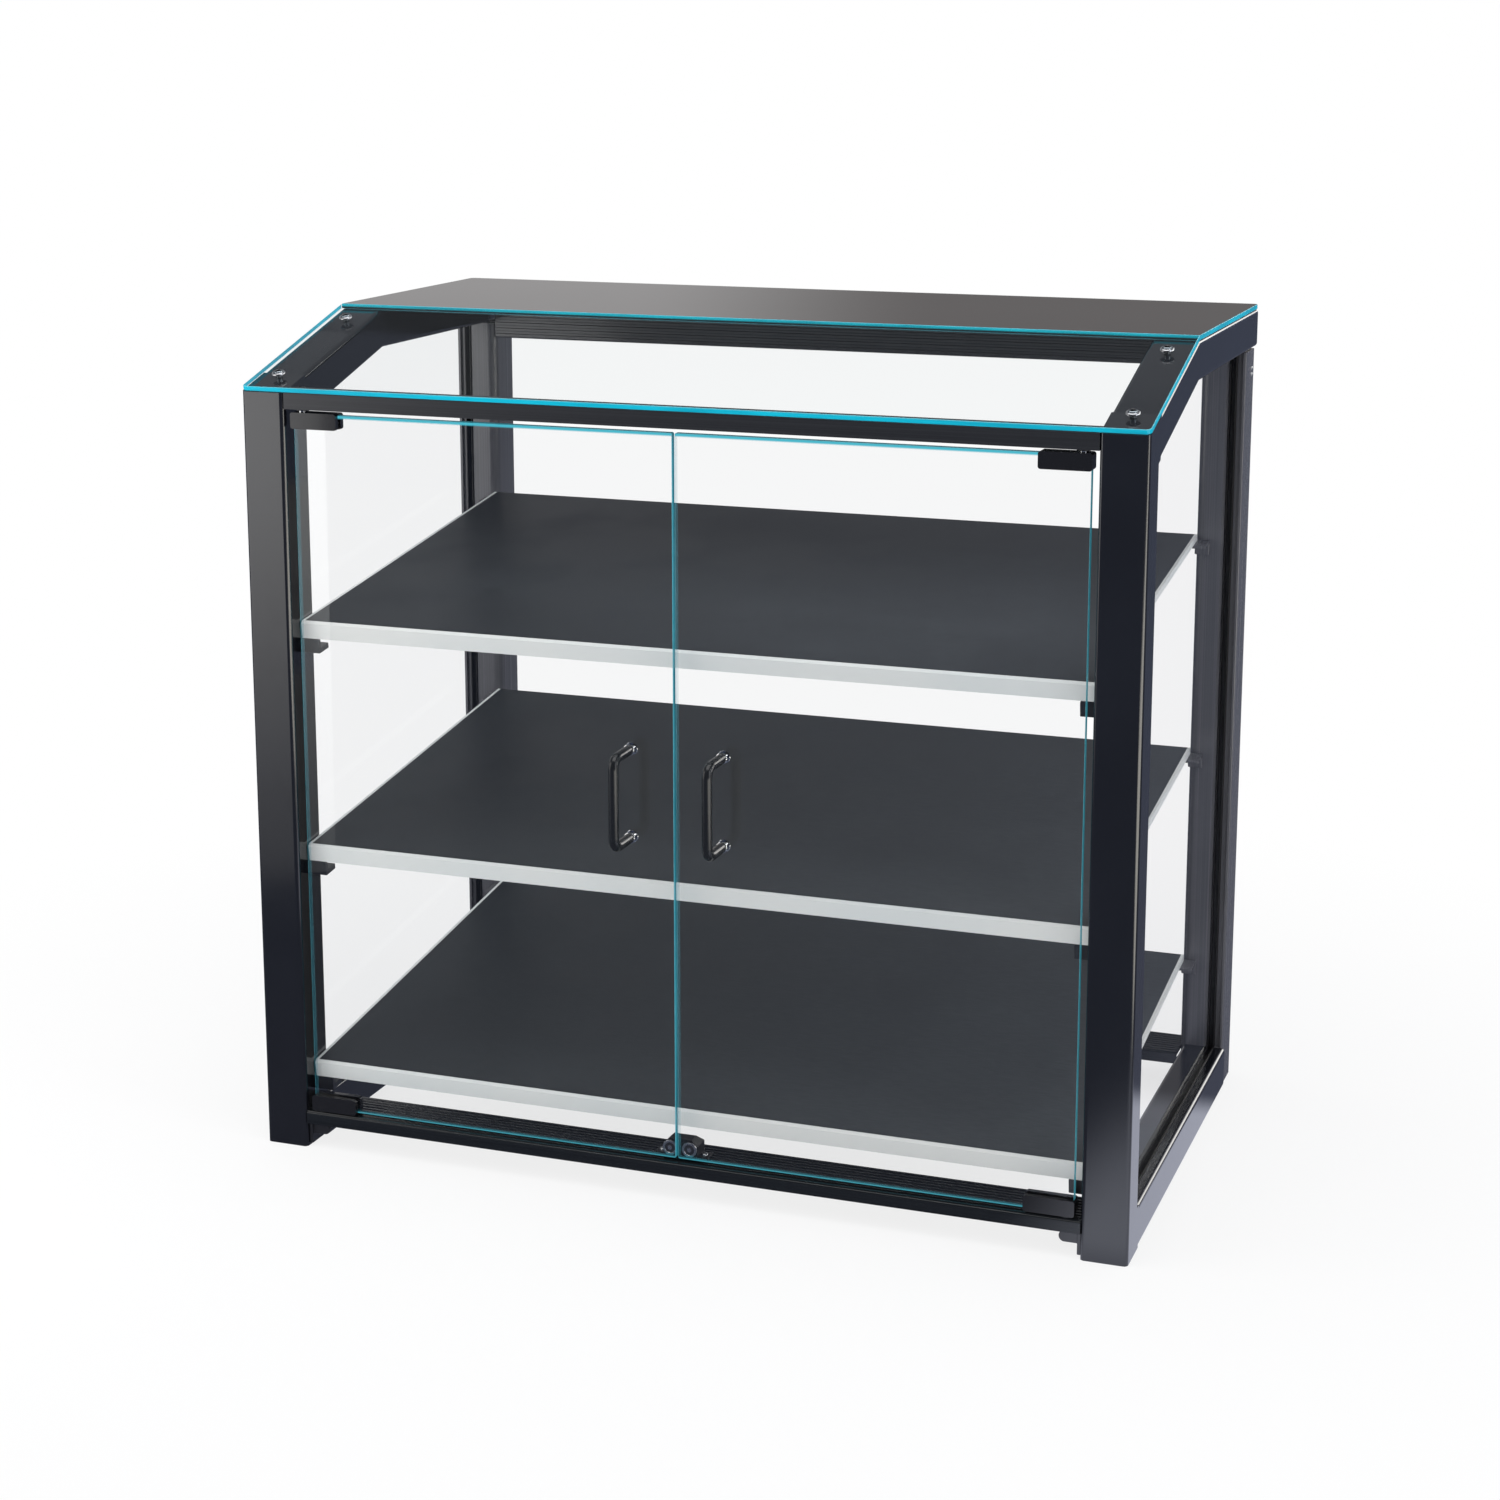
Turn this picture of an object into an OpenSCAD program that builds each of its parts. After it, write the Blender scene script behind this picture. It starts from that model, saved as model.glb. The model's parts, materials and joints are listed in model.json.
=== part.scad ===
// Countertop bread display bin: painted side frames, a sloped glass top, a flat black glass panel,
// two clear glass doors on corner pivots and three shelves that tilt down to the front.
// Millimetres, +Z up, +Y towards the open back. The origin is the centre of the footprint on the
// table, handles included. Pieces are drawn from the cabinet's front plane and moved by from_front().

/* [Cabinet] */
// width over the side frames
cabinet_w = 711; // [660:1:780]
// depth from the front posts to the back, without the handles
cabinet_d = 419; // [390:1:447]
// height over the flat top panel
cabinet_h = 667; // [620:1:720]
// height of the sloped glass at its front edge
front_h = 619; // [580:1:660]
// plan depth of the sloped glass
slope_d = 168; // [120:1:220]
// thickness of the two top glasses
roof_glass_t = 4; // [3:0.5:8]

/* [Side frames] */
// width of the painted tubes
tube_w = 36; // [30:0.5:45]
// depth of the front posts
post_d = 36; // [30:0.5:45]
// height of the bottom rails
bottom_rail_h = 34; // [28:0.5:45]
// height of the sloped and top rails
top_rail_h = 31; // [26:0.5:40]
// wall of the tubes
tube_t = 2; // [1.5:0.1:3]
// radius on the tubes' long edges
tube_r = 3.5; // [2:0.1:6]
// depth of the rebate behind the outer face of a front post
post_rebate = 6; // [3:0.5:10]
// distance from a side glass's outer face to the frame's outer face
side_glass_inset = 10; // [6:0.5:14]
// thickness of the side glasses
side_glass_t = 4; // [3:0.5:6]
// how deep the side glasses stand in the rails
side_groove = 8; // [5:0.5:12]

/* [Rear posts] */
// width across the cabinet
rear_post_w = 37; // [30:0.5:45]
// depth
rear_post_d = 36; // [30:0.5:45]
// how far the posts stand inside the frames' outer face
rear_post_inset = 2; // [0:0.5:4]
// radius on the inner front edge
rear_post_r = 8; // [3:0.5:10]
// width of the glazing channel in the front face
channel_w = 11; // [8:0.5:14]

/* [Cross members] */
// width of the ridged extrusion
bar_w = 45; // [35:1:55]
// thickness of the ridged extrusion
bar_t = 10.5; // [8:0.5:14]
// wall of the ridged extrusion
bar_wall = 2.5; // [2:0.1:4]
// number of ridges
ridge_n = 9; // [5:1:14]
// height of a ridge
ridge_h = 0.8; // [0.4:0.1:1.5]
// radius on the ridged extrusion's outer edges
bar_r = 1.2; // [0.5:0.1:2]
// height of the front sill's top
sill_z = 30.5; // [24:0.5:40]
// depth of the header bar
header_d = 12; // [8:0.5:18]
// height of the header bar's underside
header_z = 602.5; // [560:0.5:640]

/* [Shelves] */
// height of each shelf's front top edge
shelf_z = [69, 251, 433]; // [40:1:560]
// how much each shelf rises to the back
shelf_rise = 46; // [0:1:70]
// distance of the front edge from the front plane
shelf_front = 15.5; // [15:0.5:30]
// distance of the top rear edge from the front plane
shelf_back = 380; // [340:1:382]
// width of a shelf
shelf_w = 637; // [580:1:638]
// thickness of a shelf's board
shelf_t = 5; // [4:0.5:10]
// height of the strip along a shelf's front edge
shelf_lip_h = 14; // [10:0.5:20]
// depth of the strip
shelf_lip_d = 18; // [10:0.5:30]
// thickness of the black top sheet
sheet_t = 1; // [0.6:0.1:2]
// border left free at the front and the sides
sheet_margin = 2.4; // [1:0.1:6]

/* [Doors] */
// thickness of the door glasses
door_glass_t = 5; // [4:0.5:6]
// distance of a door's outer face from the front plane
door_y = 5; // [3:0.5:8]
// gap between the doors
door_gap = 2; // [1:0.5:4]
// gap between a door and its post
door_side_gap = 6; // [4:0.5:10]
// underside and top of the door glasses
door_z = [33, 599]; // [20:1:640]
// distance of the pivot from the door's outer edge
pivot_in = 6.5; // [5:0.5:10]
// length of a hinge clip
clip_l = 39; // [30:1:50]
// height of a hinge clip's plates on the glass
clip_h = 11.5; // [8:0.5:16]
// thickness of a hinge clip's plates
clip_t = 4; // [3:0.5:5]
// web of a hinge clip over the glass edge
clip_web = 1.2; // [1:0.1:2]
// radius of a pivot pin
pin_r = 3; // [2:0.1:4]
// running clearance of a pin in its bushing
pin_play = 0.05; // [0.01:0.01:0.1]
// height of a bushing's flange
bushing_flange = 1; // [0.6:0.1:1.5]

/* [Handles] */
// radius of the handle rod
rod_r = 4; // [3:0.1:6]
// distance of each handle from the middle
handle_x = 37.3; // [25:0.1:60]
// heights of the two legs
handle_z = [286.5, 355.5]; // [200:0.5:450]
// reach of the grip in front of the front plane
handle_reach = 30; // [24:0.5:45]
// bend radius of the rod's centre line
rod_bend = 8; // [6:0.5:12]

/* [Catch] */
// distance of each magnet from the middle
magnet_x = 8; // [6:0.5:12]
// height of the magnets above the sill
magnet_up = 8.2; // [7:0.1:12]
// radius of a strike disc
strike_r = 6; // [4:0.5:7]

/* [Hidden] */
$fn = 48;
eps = 0.01;
half_w = cabinet_w / 2;
front_y = (handle_reach - cabinet_d) / 2;
inner_x = half_w - tube_w;
rear_y = cabinet_d - rear_post_d;
rear_x = half_w - rear_post_inset - rear_post_w;
slope_a = atan((cabinet_h - front_h) / slope_d);
// the sloped glass's underside crosses the front plane here
under_z = front_h - roof_glass_t / cos(slope_a);
top_z = cabinet_h - roof_glass_t;
knee_y = (top_z - under_z) / tan(slope_a);
rail_low = under_z - top_rail_h / cos(slope_a);
// side glass and its gasket, from the middle of the cabinet
glass_x = half_w - side_glass_inset - side_glass_t;
gasket_t = 0.8;
gasket_x = glass_x - gasket_t;
gasket_w = side_glass_t + 2 * gasket_t;
// opening of a side window
win_y0 = post_d - post_rebate;
win_z0 = bottom_rail_h;
win_z1 = top_z - top_rail_h;
// shelves
tilt = atan(shelf_rise / (shelf_back - shelf_front));
shelf_l = (shelf_back - shelf_front) / cos(tilt);
// doors
door_x = inner_x - door_side_gap;
pivot_x = door_x - pivot_in;
pivot_y = door_y + door_glass_t / 2;
clip_x = door_x + 1;
clip_y = door_y - clip_t;
clip_d = door_glass_t + 2 * clip_t;
clip_r = 2;
bushing_r = pin_r + 1;
// angles behind the ends of the header
header_back = 0.5 + header_d;
brace_t = 2.5;
brace_l = 18;
brace_r = 5;
brace_flange = 13;
brace_z = header_z + 9;
screw_x = half_w - tube_w / 2 - 0.5;
screw_y = [26, 139.5];
// magnetic catch
catch_y = door_y + door_glass_t + 2.3;
catch_w = 28;
catch_d = 16;
catch_h = 15.5;
catch_foot_w = 44;
catch_screw = [17, 20];
magnet_r = 4.6;

painted = "#4b4f5e";
bar_grey = "#3c4046";
clear_glass = "#bfe3e8";
black = "#1c1d20";
bright = "#c9ccd0";
board_grey = "#d3d6d4";

// ---- placing and shared shapes ----

module from_front() {
    translate([0, front_y, 0]) children();
}

module left_side() {
    mirror([1, 0, 0]) children();
}

module both_sides() {
    children();
    left_side() children();
}

// rectangle with round corners, its lower left corner at the origin
module round_rect(w, h, r) {
    translate([r, 0]) square([w - 2 * r, h]);
    translate([0, r]) square([w, h - 2 * r]);
    for (x = [r, w - r], y = [r, h - r])
        translate([x, y]) circle(r);
}

module square_from(x0, y0, x1, y1) {
    translate([x0, y0]) square([x1 - x0, y1 - y0]);
}

module tube_section(w, h) {
    difference() {
        round_rect(w, h, tube_r);
        translate([tube_t, tube_t]) square([w - 2 * tube_t, h - 2 * tube_t]);
    }
}

// a section in X and Z, drawn out from y0 to y1
module along_y(y0, y1) {
    translate([0, y1, 0]) rotate([90, 0, 0]) linear_extrude(y1 - y0) children();
}

// a section in Y and Z, drawn out from x0 over a width
module along_x(x0, w) {
    translate([x0, 0, 0]) rotate([90, 0, 90]) linear_extrude(w) children();
}

// outline of a side window in Y and Z, grown outwards by g
function window(g) = [
    [win_y0 - g, win_z0 - g],
    [rear_y + g, win_z0 - g],
    [rear_y + g, win_z1 + g],
    [(win_z1 + g - rail_low - g / cos(slope_a)) / tan(slope_a), win_z1 + g],
    [win_y0 - g, rail_low + g / cos(slope_a) + (win_y0 - g) * tan(slope_a)]
];

module glass_groove() {
    along_x(gasket_x, gasket_w) polygon(window(side_groove + gasket_t));
}

// everything above the underside of the two top glasses
module above_roof() {
    along_x(-half_w - 5, cabinet_w + 10) polygon([
        [-20, under_z - 20 * tan(slope_a)], [knee_y, top_z],
        [cabinet_d + 20, top_z], [cabinet_d + 20, top_z + 60], [-20, top_z + 60]
    ]);
}

// a row of holes for the screws of the sloped glass
module at_screws() {
    for (y = screw_y)
        translate([screw_x, y, front_h + y * tan(slope_a)]) rotate([slope_a, 0, 0]) children();
}

// ---- side frames, drawn for the right-hand side ----

module front_post() {
    difference() {
        translate([inner_x, 0, 0]) linear_extrude(cabinet_h) {
            round_rect(tube_w, post_d, tube_r);
            translate([0, post_d / 2]) square([tube_w, post_d / 2]);
        }
        translate([inner_x + tube_t, tube_t, tube_t])
            cube([tube_w - 2 * tube_t, post_d - 2 * tube_t, front_h - 32]);
        above_roof();
        glass_groove();
        // rebate that sets the window's edge forward on the outer face
        along_x(gasket_x + gasket_w - eps, tube_w) polygon([
            [win_y0, win_z0], [post_d + 1, win_z0],
            [post_d + 1, rail_low + (post_d + 1) * tan(slope_a)],
            [win_y0, rail_low + win_y0 * tan(slope_a)]
        ]);
        at_screws() cylinder(r = 2.5, h = 40, center = true);
    }
}

module bottom_rail() {
    difference() {
        translate([inner_x, 0, 0]) along_y(post_d, rear_y) tube_section(tube_w, bottom_rail_h);
        glass_groove();
    }
}

module sloped_rail() {
    difference() {
        translate([inner_x, 0, under_z]) rotate([slope_a, 0, 0]) translate([0, 0, -top_rail_h])
            along_y(0, slope_d + 40) tube_section(tube_w, top_rail_h);
        translate([inner_x - 1, -20, 0]) cube([tube_w + 2, post_d + 20, cabinet_h]);
        along_x(inner_x - 1, tube_w + 2) polygon([
            [knee_y, cabinet_h + 40], [knee_y, top_z], mitre_foot(), [mitre_foot()[0], 500],
            [cabinet_d, 500], [cabinet_d, cabinet_h + 40]
        ]);
        glass_groove();
        at_screws() cylinder(r = 2.5, h = 16, center = true);
    }
}

// lower end of the mitre between the sloped rail and the top rail
function mitre_foot() = [(win_z1 - rail_low) / tan(slope_a), win_z1];

module top_rail() {
    difference() {
        translate([inner_x, 0, win_z1]) along_y(knee_y - 5, cabinet_d)
            round_rect(tube_w, top_rail_h, tube_r);
        translate([inner_x + tube_t, knee_y - 6, win_z1 + tube_t])
            cube([tube_w - 2 * tube_t, cabinet_d - knee_y + 6 - tube_t, top_rail_h - 2 * tube_t]);
        along_x(inner_x - 1, tube_w + 2) polygon([
            [0, cabinet_h], [knee_y, cabinet_h], [knee_y, top_z],
            mitre_foot(), [mitre_foot()[0], 500], [0, 500]
        ]);
        glass_groove();
    }
}

module rear_post() {
    difference() {
        union() {
            translate([rear_x, rear_y, 0]) linear_extrude(win_z1 - 1.5) rear_post_section();
            translate([rear_x + 3, rear_y + 9, 0])
                linear_extrude(win_z1) square([rear_post_w - 6, rear_post_d - 12]);
        }
        translate([rear_x + 3, rear_y + 12, tube_t])
            cube([rear_post_w - 6, rear_post_d - 15, win_z1 - 32]);
        glass_groove();
        translate([gasket_x - 0.7, rear_y - 1, win_z0]) cube([channel_w, 4, cabinet_h]);
    }
}

// small corner radii, but a large one towards the inside of the cabinet
module rear_post_section() {
    difference() {
        round_rect(rear_post_w, rear_post_d, 1);
        translate([-1, -1]) square(rear_post_r + 1);
    }
    translate([rear_post_r, rear_post_r]) circle(rear_post_r);
}

module post_rivets() {
    for (z = [610, 615])
        translate([half_w - rear_post_inset, rear_y + 26.5, z]) rotate([0, 90, 0])
            cylinder(r1 = 1.7, r2 = 1.1, h = 0.9);
}

module side_glass() {
    along_x(glass_x, side_glass_t) polygon(window(side_groove));
}

// black channel around the glass, its lip just proud of the rails
module glass_gasket() {
    difference() {
        along_x(gasket_x, gasket_w) polygon(window(side_groove + gasket_t));
        along_x(gasket_x - 1, gasket_w + 2) polygon(window(-1.2));
        side_glass();
    }
}

// ---- cross members ----

// ridged extrusion lying flat in Y and Z, ridges up, its top at z = 0
module bar_section() {
    pitch = bar_w / ridge_n;
    translate([bar_r, -ridge_h - bar_wall]) square([bar_w - 2 * bar_r, bar_wall]);
    for (x = [0, bar_w - bar_wall])
        translate([x, -bar_t]) square([bar_wall, bar_t - ridge_h - bar_r]);
    for (x = [bar_r, bar_w - bar_r])
        translate([x, -ridge_h - bar_r]) circle(bar_r);
    for (i = [0:ridge_n - 1])
        translate([i * pitch + pitch / 2, -ridge_h]) polygon([
            [-1.7, -0.3], [1.7, -0.3], [1.1, ridge_h], [-1.1, ridge_h]
        ]);
}

module header() {
    difference() {
        translate([-inner_x, 0.5, header_z]) cube([2 * inner_x, header_d, 30]);
        above_roof();
        both_sides() translate([pivot_x, pivot_y, header_z - 1]) cylinder(r = bushing_r, h = 7);
    }
}

// angle from the back of the header to the post, its free end round
module header_bracket() {
    along_x(inner_x - brace_t, brace_t) {
        square_from(header_back, brace_z - brace_r, header_back + brace_l, brace_z + brace_r);
        translate([header_back + brace_l, brace_z]) circle(brace_r);
    }
    translate([inner_x - brace_flange, header_back, brace_z - brace_r])
        cube([brace_flange, brace_t, 2 * brace_r]);
}

module sill() {
    difference() {
        translate([0, 0.5, sill_z]) along_x(-inner_x, 2 * inner_x) bar_section();
        both_sides() translate([pivot_x, pivot_y, sill_z - 6]) cylinder(r = bushing_r, h = 8);
        both_sides() translate([catch_screw[0], catch_screw[1], sill_z - 6]) cylinder(r = 1.5, h = 8);
    }
}

// angle under each end of the sill with a round-nosed lug
module sill_bracket() {
    translate([inner_x - 3, 4, 2]) cube([3, 30, sill_z - ridge_h - bar_wall - 2]);
    along_y(6, 20) square_from(inner_x - 13, 10, inner_x - 3 + eps, 19);
    along_y(6, 20) translate([inner_x - 13, 14.5]) circle(4.5);
}

module rear_bottom() {
    translate([0, rear_y - 13, sill_z]) along_x(-rear_x, 2 * rear_x) bar_section();
}

// the same extrusion on edge, its ridges facing forward
module rear_top() {
    along_x(-rear_x, 2 * rear_x) translate([rear_y, top_z - bar_w]) rotate(90) bar_section();
}

// ---- top ----

module roof_plan(y0, y1) {
    translate([-half_w, y0, front_h - 10]) linear_extrude(cabinet_h) round_rect(cabinet_w, y1 - y0, 4);
}

module sloped_pane() {
    difference() {
        intersection() {
            along_x(-half_w, cabinet_w) polygon([
                [0, front_h], [slope_d - 0.2, front_h + (slope_d - 0.2) * tan(slope_a)],
                [slope_d - 0.2, under_z + (slope_d - 0.2) * tan(slope_a)],
                [roof_glass_t * sin(slope_a), front_h - roof_glass_t * cos(slope_a)]
            ]);
            roof_plan(0, slope_d + 20);
        }
        both_sides() at_screws() cylinder(r = 2.8, h = 30, center = true);
    }
}

module flat_pane() {
    intersection() {
        translate([-half_w, slope_d + 0.2, top_z]) cube([cabinet_w, cabinet_d - slope_d, roof_glass_t]);
        roof_plan(slope_d - 20, cabinet_d);
    }
}

module glass_screws() {
    both_sides() at_screws() {
        translate([0, 0, 1.2]) cylinder(r1 = 3.8, r2 = 3.2, h = 1.5);
        translate([0, 0, -14]) cylinder(r = 2.4, h = 15.3);
    }
}

module glass_cups() {
    both_sides() at_screws() difference() {
        cylinder(r1 = 5.2, r2 = 4.6, h = 1.6);
        translate([0, 0, -1]) cylinder(r = 2.4, h = 4);
        translate([0, 0, 1.2]) cylinder(r1 = 3.8, r2 = 3.2, h = 1.5);
    }
}

// ---- shelves ----

module on_shelf(i) {
    translate([0, shelf_front, shelf_z[i]]) rotate([tilt, 0, 0]) children();
}

module shelf_board(i) {
    on_shelf(i) difference() {
        along_x(-shelf_w / 2, shelf_w) polygon([
            [0, -shelf_lip_h], [shelf_lip_d, -shelf_lip_h], [shelf_lip_d, -shelf_t],
            [shelf_l, -shelf_t], [shelf_l, 0], [1.8, 0], [0, -1.8]
        ]);
        translate([-shelf_w / 2 + sheet_margin, sheet_margin, -sheet_t])
            cube([shelf_w - 2 * sheet_margin, shelf_l, sheet_t + 1]);
    }
}

module shelf_sheet(i) {
    on_shelf(i) translate([-shelf_w / 2 + sheet_margin, sheet_margin, -sheet_t])
        cube([shelf_w - 2 * sheet_margin, shelf_l - sheet_margin, sheet_t]);
}

// angle on a front post: a round-cornered face, a tongue below it and a flange on the post
module front_bracket(i) {
    on_shelf(i) translate([inner_x, 0, -shelf_lip_h]) {
        along_y(2, 5) {
            square_from(-14, -13, 0, -3);
            square_from(-11, -13, 0, 0);
            translate([-11, -3]) circle(3);
        }
        translate([-14, 5 - eps, -13]) cube([14, 12, 4.5]);
        translate([-2.5, 5 - eps, -13]) cube([2.5, 12, 13]);
    }
}

// angle on a rear post: a plate on the post's face and a ledge under the shelf
module rear_bracket(i) {
    rear = shelf_back + shelf_t * sin(tilt);
    ledge_y = rear - 16;
    low = shelf_z[i] - shelf_t / cos(tilt);
    top = low + (rear - shelf_front) * tan(tilt);
    along_x(rear_x - 7, 19) polygon([
        [ledge_y, low + (ledge_y - shelf_front) * tan(tilt)],
        [rear, top], [rear_y, top], [rear_y, top - 3], [rear_y - 2.5, top - 3],
        [ledge_y, low + (ledge_y - shelf_front) * tan(tilt) - 2.5]
    ]);
    translate([rear_x, rear_y - 2.5, top - 12]) cube([12, 2.5, 10]);
}

// ---- doors, drawn for the right-hand side ----

module bushing() {
    difference() {
        union() {
            cylinder(r = bushing_r + 1.2, h = bushing_flange);
            translate([0, 0, -3.3]) cylinder(r = bushing_r, h = 3.3 + bushing_flange);
        }
        translate([0, 0, -8]) cylinder(r = pin_r + pin_play, h = 16);
    }
}

module bushings() {
    both_sides() {
        translate([pivot_x, pivot_y, sill_z]) bushing();
        translate([pivot_x, pivot_y, header_z]) mirror([0, 0, 1]) bushing();
    }
}

module door_pane() {
    difference() {
        translate([door_gap / 2, door_y, door_z[0]])
            cube([door_x - door_gap / 2, door_glass_t, door_z[1] - door_z[0]]);
        for (z = handle_z)
            translate([handle_x, 0, z]) rotate([-90, 0, 0]) cylinder(r = 2.5, h = 20);
    }
}

// channel clip over the glass edge, upright for the top of the door
module hinge_clip() {
    difference() {
        translate([clip_x - clip_l, clip_y, -clip_h])
            along_y(0, clip_d) round_rect(clip_l, clip_h + clip_web, clip_r);
        translate([0, door_y, -clip_h - 1]) cube([door_x, door_glass_t, clip_h + 1]);
    }
}

module hinge_clips() {
    translate([0, 0, door_z[1]]) hinge_clip();
    translate([0, 0, door_z[0]]) mirror([0, 0, 1]) hinge_clip();
}

module pivot_pins() {
    translate([pivot_x, pivot_y, door_z[1] + clip_web]) cylinder(r = pin_r, h = 6.5);
    translate([pivot_x, pivot_y, door_z[0] - clip_web - 5.5]) cylinder(r = pin_r, h = 5.5);
}

module handle() {
    grip_y = rod_r - handle_reach;
    difference() {
        translate([handle_x, 0, 0]) {
            for (i = [0, 1]) {
                translate([0, door_y - 1, handle_z[i]]) rotate([90, 0, 0])
                    cylinder(r = rod_r, h = door_y - 1 - grip_y - rod_bend);
                translate([0, grip_y + rod_bend, handle_z[i] + (i == 0 ? rod_bend : -rod_bend)])
                    rotate([0, 90, 0]) rotate([0, 0, i == 0 ? -90 : 180])
                        rotate_extrude(angle = 90) translate([rod_bend, 0]) circle(rod_r);
            }
            translate([0, grip_y, handle_z[0] + rod_bend])
                cylinder(r = rod_r, h = handle_z[1] - handle_z[0] - 2 * rod_bend);
        }
        for (z = handle_z)
            translate([handle_x, door_y - 8, z]) rotate([-90, 0, 0]) cylinder(r = 2, h = 12);
    }
}

module handle_rings() {
    for (z = handle_z)
        translate([handle_x, door_y - 1, z]) rotate([-90, 0, 0]) difference() {
            cylinder(r = rod_r + 0.5, h = 1);
            translate([0, 0, -1]) cylinder(r = 2, h = 3);
        }
}

module handle_screws() {
    for (z = handle_z)
        translate([handle_x, door_y + door_glass_t, z]) rotate([-90, 0, 0]) {
            cylinder(r = 5, h = 0.8);
            translate([0, 0, 0.8]) cylinder(r1 = 3.6, r2 = 3, h = 1.8);
            translate([0, 0, -door_glass_t - 7]) cylinder(r = 2, h = door_glass_t + 7.4);
        }
}

module strike_disc() {
    translate([magnet_x, door_y + door_glass_t, sill_z + magnet_up]) rotate([-90, 0, 0])
        cylinder(r = strike_r, h = 1.6);
}

// ---- magnetic catch on the sill ----

module catch() {
    difference() {
        union() {
            along_x(-catch_w / 2, catch_w) polygon([
                [catch_y, sill_z], [catch_y + catch_d, sill_z], [catch_y + catch_d, sill_z + 11],
                [catch_y + 11, sill_z + catch_h], [catch_y, sill_z + catch_h]
            ]);
            translate([-catch_foot_w / 2, 14, sill_z]) cube([catch_foot_w, 12, 2]);
        }
        both_sides() translate([magnet_x, catch_y - 1, sill_z + magnet_up]) rotate([-90, 0, 0])
            cylinder(r = magnet_r, h = 4);
        both_sides() translate([catch_screw[0], catch_screw[1], sill_z - 1]) cylinder(r = 1.5, h = 4);
        // chamfers on the body's upper corners
        both_sides() translate([catch_w / 2, 0, sill_z + 10.5]) rotate([0, -45, 0]) cube([12, 60, 12]);
    }
}

module magnets() {
    both_sides() translate([magnet_x, catch_y, sill_z + magnet_up]) rotate([-90, 0, 0])
        cylinder(r = magnet_r, h = 3);
}

module catch_fixings() {
    both_sides() translate([catch_screw[0], catch_screw[1], sill_z + 2]) {
        cylinder(r1 = 2.9, r2 = 2.2, h = 1.4);
        translate([0, 0, -6]) cylinder(r = 1.5, h = 6.2);
    }
}

// ---- one module per node ----

module left_front_post() color(painted) from_front() left_side() front_post();
module right_front_post() color(painted) from_front() front_post();
module left_bottom_rail() color(painted) from_front() left_side() bottom_rail();
module right_bottom_rail() color(painted) from_front() bottom_rail();
module left_sloped_rail() color(painted) from_front() left_side() sloped_rail();
module right_sloped_rail() color(painted) from_front() sloped_rail();
module left_top_rail() color(painted) from_front() left_side() top_rail();
module right_top_rail() color(painted) from_front() top_rail();
module left_rear_post() color(painted) from_front() left_side() rear_post();
module right_rear_post() color(painted) from_front() rear_post();
module rear_post_rivets() color(bright) from_front() both_sides() post_rivets();
module left_side_glass() color(clear_glass) from_front() left_side() side_glass();
module right_side_glass() color(clear_glass) from_front() side_glass();
module left_glass_gasket() color(black) from_front() left_side() glass_gasket();
module right_glass_gasket() color(black) from_front() glass_gasket();
module header_bar() color(bar_grey) from_front() header();
module header_brackets() color(black) from_front() both_sides() header_bracket();
module front_sill() color(bar_grey) from_front() sill();
module sill_brackets() color(black) from_front() both_sides() sill_bracket();
module rear_bottom_bar() color(bar_grey) from_front() rear_bottom();
module rear_top_bar() color(bar_grey) from_front() rear_top();
module sloped_glass() color(clear_glass) from_front() sloped_pane();
module top_panel() color(black) from_front() flat_pane();
module sloped_glass_screws() color(black) from_front() glass_screws();
module sloped_glass_cups() color(bright) from_front() glass_cups();
module lower_shelf() color(board_grey) from_front() shelf_board(0);
module middle_shelf() color(board_grey) from_front() shelf_board(1);
module upper_shelf() color(board_grey) from_front() shelf_board(2);
module lower_shelf_sheet() color(black) from_front() shelf_sheet(0);
module middle_shelf_sheet() color(black) from_front() shelf_sheet(1);
module upper_shelf_sheet() color(black) from_front() shelf_sheet(2);
module shelf_front_brackets() color(black) from_front() both_sides() for (i = [0:2]) front_bracket(i);
module shelf_rear_brackets() color(black) from_front() both_sides() for (i = [0:2]) rear_bracket(i);
module pivot_bushings() color(black) from_front() bushings();
module catch_body() color(black) from_front() catch();
module catch_magnets() color(bright) from_front() magnets();
module catch_screws() color(bright) from_front() catch_fixings();
module left_door_glass() color(clear_glass) from_front() left_side() door_pane();
module left_hinge_clips() color(black) from_front() left_side() hinge_clips();
module left_pivot_pins() color(bright) from_front() left_side() pivot_pins();
module left_handle() color(black) from_front() left_side() handle();
module left_handle_rings() color(bright) from_front() left_side() handle_rings();
module left_handle_screws() color(bright) from_front() left_side() handle_screws();
module left_strike_disc() color(bright) from_front() left_side() strike_disc();
module right_door_glass() color(clear_glass) from_front() door_pane();
module right_hinge_clips() color(black) from_front() hinge_clips();
module right_pivot_pins() color(bright) from_front() pivot_pins();
module right_handle() color(black) from_front() handle();
module right_handle_rings() color(bright) from_front() handle_rings();
module right_handle_screws() color(bright) from_front() handle_screws();
module right_strike_disc() color(bright) from_front() strike_disc();

left_front_post();
right_front_post();
left_bottom_rail();
right_bottom_rail();
left_sloped_rail();
right_sloped_rail();
left_top_rail();
right_top_rail();
left_rear_post();
right_rear_post();
rear_post_rivets();
left_side_glass();
right_side_glass();
left_glass_gasket();
right_glass_gasket();
header_bar();
header_brackets();
front_sill();
sill_brackets();
rear_bottom_bar();
rear_top_bar();
sloped_glass();
top_panel();
sloped_glass_screws();
sloped_glass_cups();
lower_shelf();
middle_shelf();
upper_shelf();
lower_shelf_sheet();
middle_shelf_sheet();
upper_shelf_sheet();
shelf_front_brackets();
shelf_rear_brackets();
pivot_bushings();
catch_body();
catch_magnets();
catch_screws();
left_door_glass();
left_hinge_clips();
left_pivot_pins();
left_handle();
left_handle_rings();
left_handle_screws();
left_strike_disc();
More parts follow.
